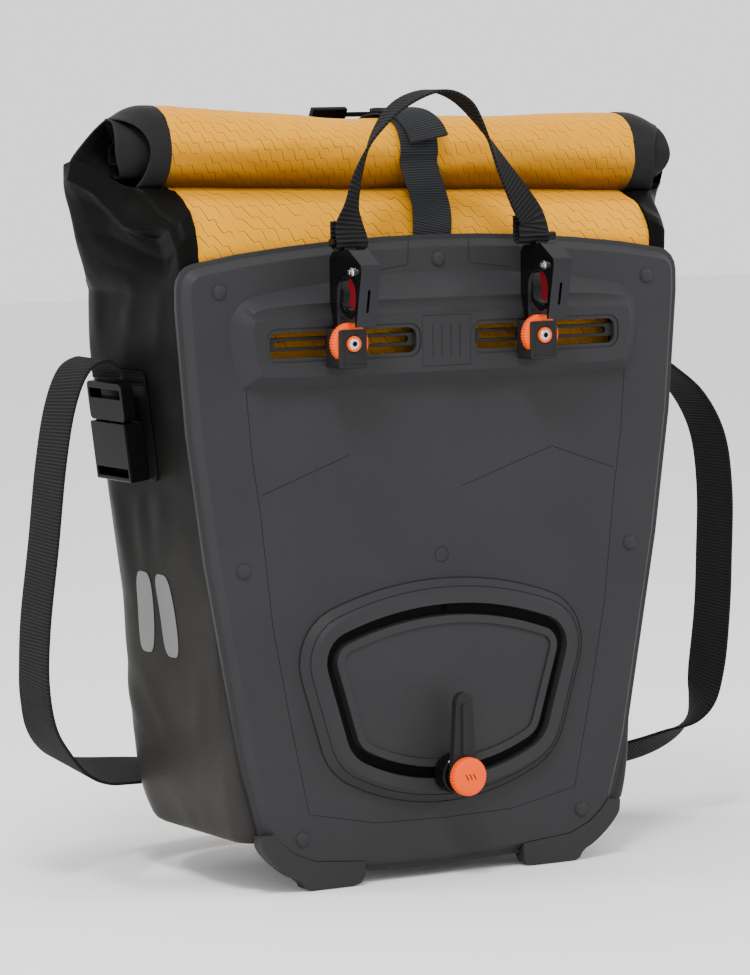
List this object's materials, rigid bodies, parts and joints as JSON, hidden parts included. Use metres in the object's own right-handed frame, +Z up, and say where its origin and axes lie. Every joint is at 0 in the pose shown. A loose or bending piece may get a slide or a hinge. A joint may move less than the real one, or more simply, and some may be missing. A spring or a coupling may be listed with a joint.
{
  "type": "pannier bag",
  "caption": "Roll-top bicycle pannier with a moulded back plate, sliding clamp hooks, a swivelling lower hook, a carry handle and a clip-on shoulder strap.",
  "frame": {"origin": "middle of the flat patch under the bag, in line with the middle of the back plate", "axes": "+X across the back plate, with the plate on the -Y side and the bag in front of it on the +Y side; +Z up"},
  "size_m": [0.4718, 0.2545, 0.4563],
  "materials": {
    "plate_plastic": "fine pebbled grain",
    "guard_rubber": "matte",
    "yellow_fabric": "coated, embossed with a cracked diagonal relief",
    "black_fabric": "coated tarpaulin with a soft sheen",
    "webbing": "ribbed nylon webbing",
    "hook_plastic": "satin",
    "latch_plastic": "gloss",
    "orange_plastic": "satin",
    "red_plastic": "satin",
    "steel": "bright",
    "stiffener": "plain"
  },
  "bodies": {
    "bag": {"back_plate": "plate_plastic", "corner_guard_left": "guard_rubber", "corner_guard_right": "guard_rubber", "hook_rail_left": "hook_plastic", "hook_rail_right": "hook_plastic", "back_panel": "yellow_fabric", "front_panel": "yellow_fabric", "base_panel": "black_fabric", "side_panel_left": "black_fabric", "side_panel_right": "black_fabric", "roll_top": "yellow_fabric", "roll_stiffener": "stiffener", "roll_end_left": "black_fabric", "roll_end_right": "black_fabric", "closure_strap": "webbing", "closure_socket": "latch_plastic", "buckle_patch_left": "black_fabric", "buckle_patch_right": "black_fabric", "strap_left_socket": "latch_plastic", "strap_right_socket": "latch_plastic", "carry_handle": "webbing", "rivet_top_left": "plate_plastic", "rivet_top_right": "plate_plastic", "rivet_top_middle": "plate_plastic", "rivet_middle_left": "plate_plastic", "rivet_middle_right": "plate_plastic", "rivet_bottom_left": "plate_plastic", "rivet_bottom_right": "plate_plastic"},
    "hook_left": {"hook_housing_left": "hook_plastic", "clamp_block_left": "hook_plastic", "jaw_insert_left": "red_plastic", "pivot_pin_left": "steel", "clamp_nut_left": "steel"},
    "wheel_left": {"clamp_wheel_left": "orange_plastic", "clamp_screw_left": "steel"},
    "latch_left": {"latch_left": "latch_plastic"},
    "hook_right": {"hook_housing_right": "hook_plastic", "clamp_block_right": "hook_plastic", "jaw_insert_right": "red_plastic", "pivot_pin_right": "steel", "clamp_nut_right": "steel"},
    "wheel_right": {"clamp_wheel_right": "orange_plastic", "clamp_screw_right": "steel"},
    "latch_right": {"latch_right": "latch_plastic"},
    "sway_carrier": {"sway_slider": "steel", "sway_spacer": "latch_plastic"},
    "sway_arm": {"sway_arm": "hook_plastic"},
    "sway_knob": {"sway_knob": "orange_plastic"},
    "shoulder_strap": {"shoulder_strap": "webbing", "strap_left_clip": "latch_plastic", "strap_right_clip": "latch_plastic"},
    "closure_clip": {"closure_clip": "latch_plastic"}
  },
  "joints": [
    {"name": "hook_slide_left", "type": "slide", "parent": "bag", "child": "hook_left", "axis": [1, 0, 0], "range_m": [-0.037, 0.044]},
    {"name": "clamp_wheel_turn_left", "type": "hinge", "parent": "hook_left", "child": "wheel_left", "pos_m": [-0.071, -0.102, 0.314], "axis": [0, 1, 0], "continuous": true},
    {"name": "latch_swing_left", "type": "hinge", "parent": "hook_left", "child": "latch_left", "pos_m": [-0.071, -0.1183, 0.3549], "axis": [1, 0, 0], "range_deg": [0, 25], "stiffness_Nm_per_rad": 0.05, "springref_deg": -5.73},
    {"name": "hook_slide_right", "type": "slide", "parent": "bag", "child": "hook_right", "axis": [1, 0, 0], "range_m": [-0.029, 0.052]},
    {"name": "clamp_wheel_turn_right", "type": "hinge", "parent": "hook_right", "child": "wheel_right", "pos_m": [0.056, -0.102, 0.314], "axis": [0, 1, 0], "continuous": true},
    {"name": "latch_swing_right", "type": "hinge", "parent": "hook_right", "child": "latch_right", "pos_m": [0.056, -0.1183, 0.3549], "axis": [1, 0, 0], "range_deg": [0, 25], "stiffness_Nm_per_rad": 0.05, "springref_deg": -5.73},
    {"name": "sway_travel", "type": "hinge", "parent": "bag", "child": "sway_carrier", "pos_m": [0, -0.0865, 0.184], "axis": [0, 1, 0], "range_deg": [-16, 16]},
    {"name": "sway_arm_swing", "type": "hinge", "parent": "sway_carrier", "child": "sway_arm", "pos_m": [0, -0.1041, 0.0615], "axis": [0, 1, 0], "continuous": true},
    {"name": "sway_knob_turn", "type": "hinge", "parent": "sway_carrier", "child": "sway_knob", "pos_m": [0, -0.1095, 0.0615], "axis": [0, 1, 0], "continuous": true},
    {"name": "shoulder_strap_release", "type": "slide", "parent": "bag", "child": "shoulder_strap", "axis": [0, 0, 1], "range_m": [0, 0.022]},
    {"name": "closure_release", "type": "slide", "parent": "bag", "child": "closure_clip", "axis": [0, 0.0698, 0.9976], "range_m": [0, 0.015]}
  ]
}
